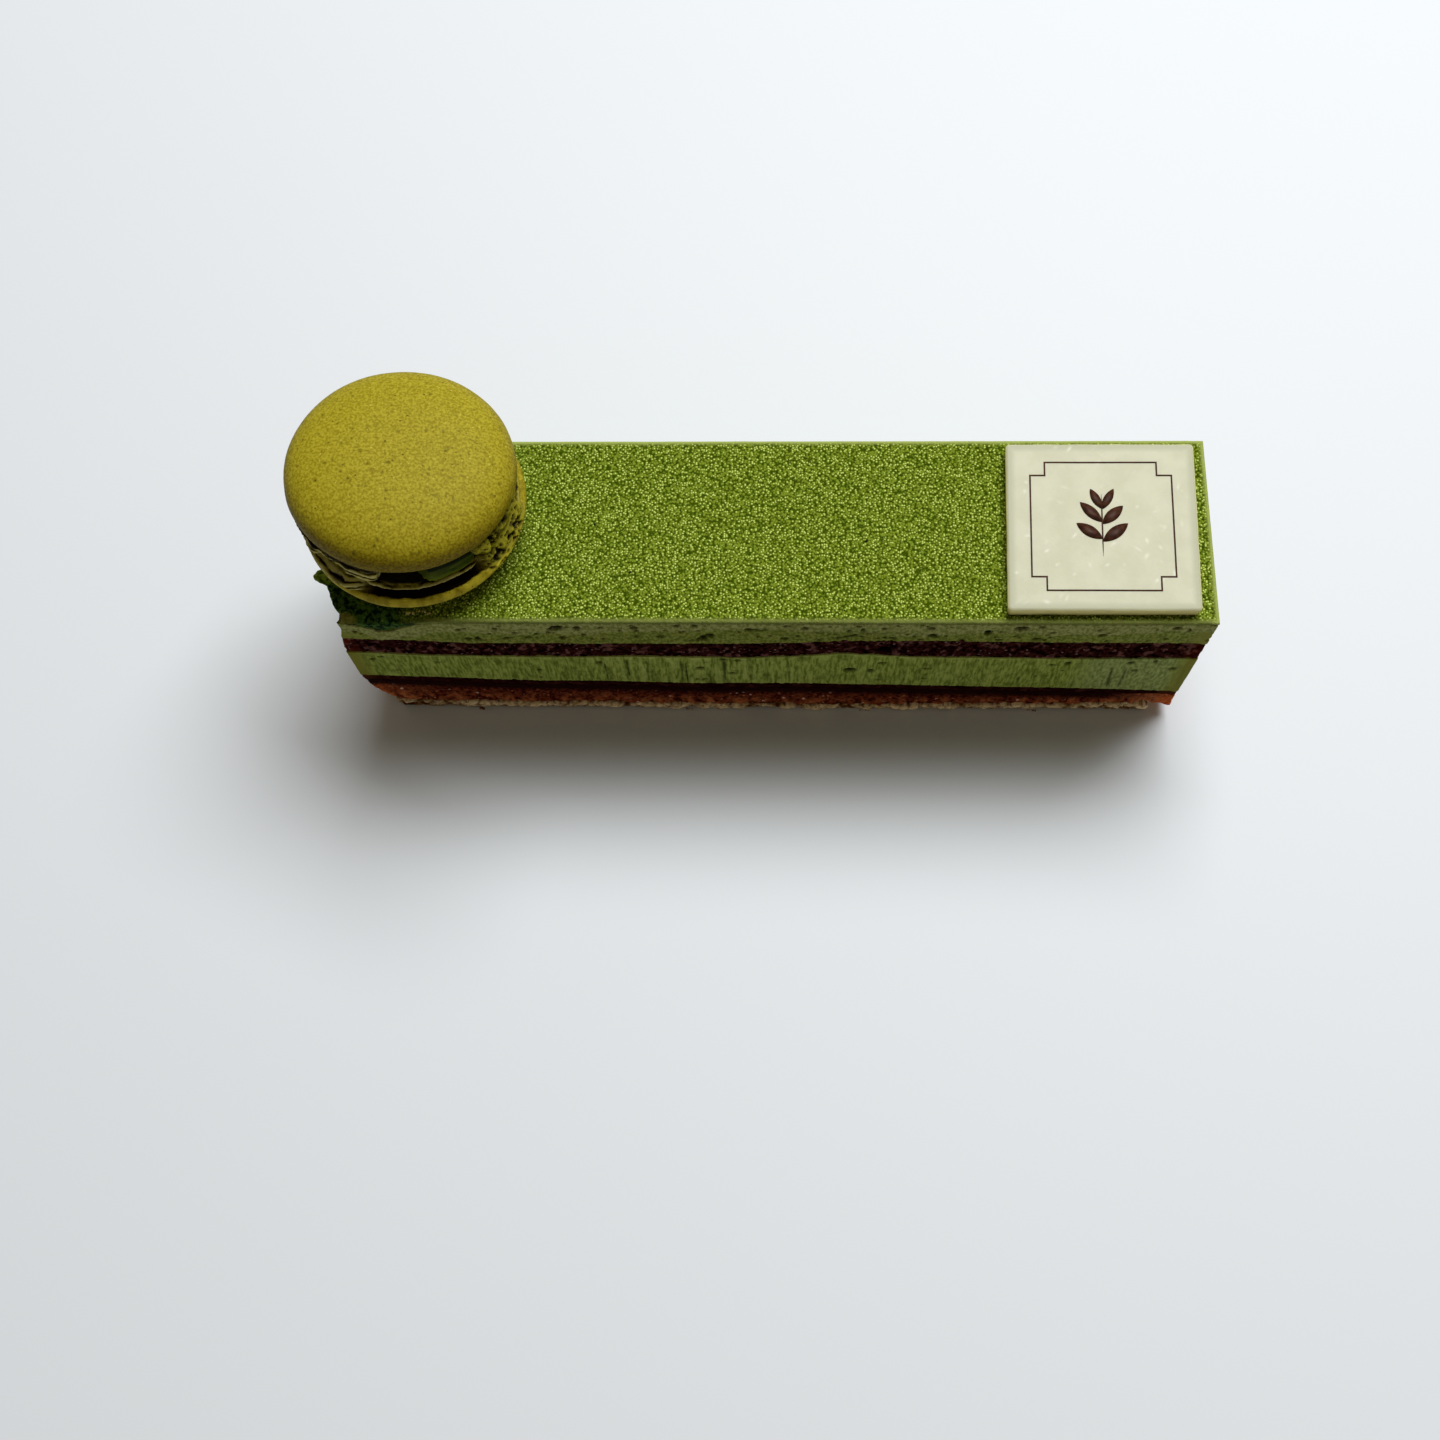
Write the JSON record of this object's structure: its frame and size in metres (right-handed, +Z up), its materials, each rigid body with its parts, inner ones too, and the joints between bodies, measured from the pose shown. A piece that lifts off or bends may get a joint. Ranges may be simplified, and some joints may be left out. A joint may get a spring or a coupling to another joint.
{
  "type": "opera cake",
  "caption": "Matcha opera cake: a cut bar of layered sponge, cream and ganache under green icing, with a macaron and a white chocolate plaque.",
  "frame": {"origin": "centre of the bar's flat underside", "axes": "+Z up, +X along the bar towards the plaque, -Y towards the viewer of the front cut"},
  "size_m": [0.124, 0.0324, 0.0503],
  "materials": {
    "crust": "pale baked crumb, dry and flaky",
    "moist_sponge": "red-brown soaked sponge, moist and coarse",
    "ganache": "near-black ganache, soft sheen",
    "cream": "green buttercream cut with a knife, matt",
    "dark_sponge": "dark porous sponge, matt",
    "icing": "bright green icing with a fine sprayed stipple, velvety",
    "macaron_shell": "smooth matt baked shell with fine pores, crumbly foot",
    "macaron_filling": "dark green cream, smooth with a soft sheen",
    "white_chocolate": "white chocolate, satin, lightly scuffed"
  },
  "bodies": {
    "root": {"base_crust": "crust", "lower_sponge": "moist_sponge", "ganache": "ganache", "lower_cream": "cream", "upper_sponge": "dark_sponge", "upper_cream": "cream", "icing": "icing", "macaron_lower": "macaron_shell", "macaron_filling": "macaron_filling", "macaron_upper": "macaron_shell", "plaque": "white_chocolate"}
  },
  "joints": []
}
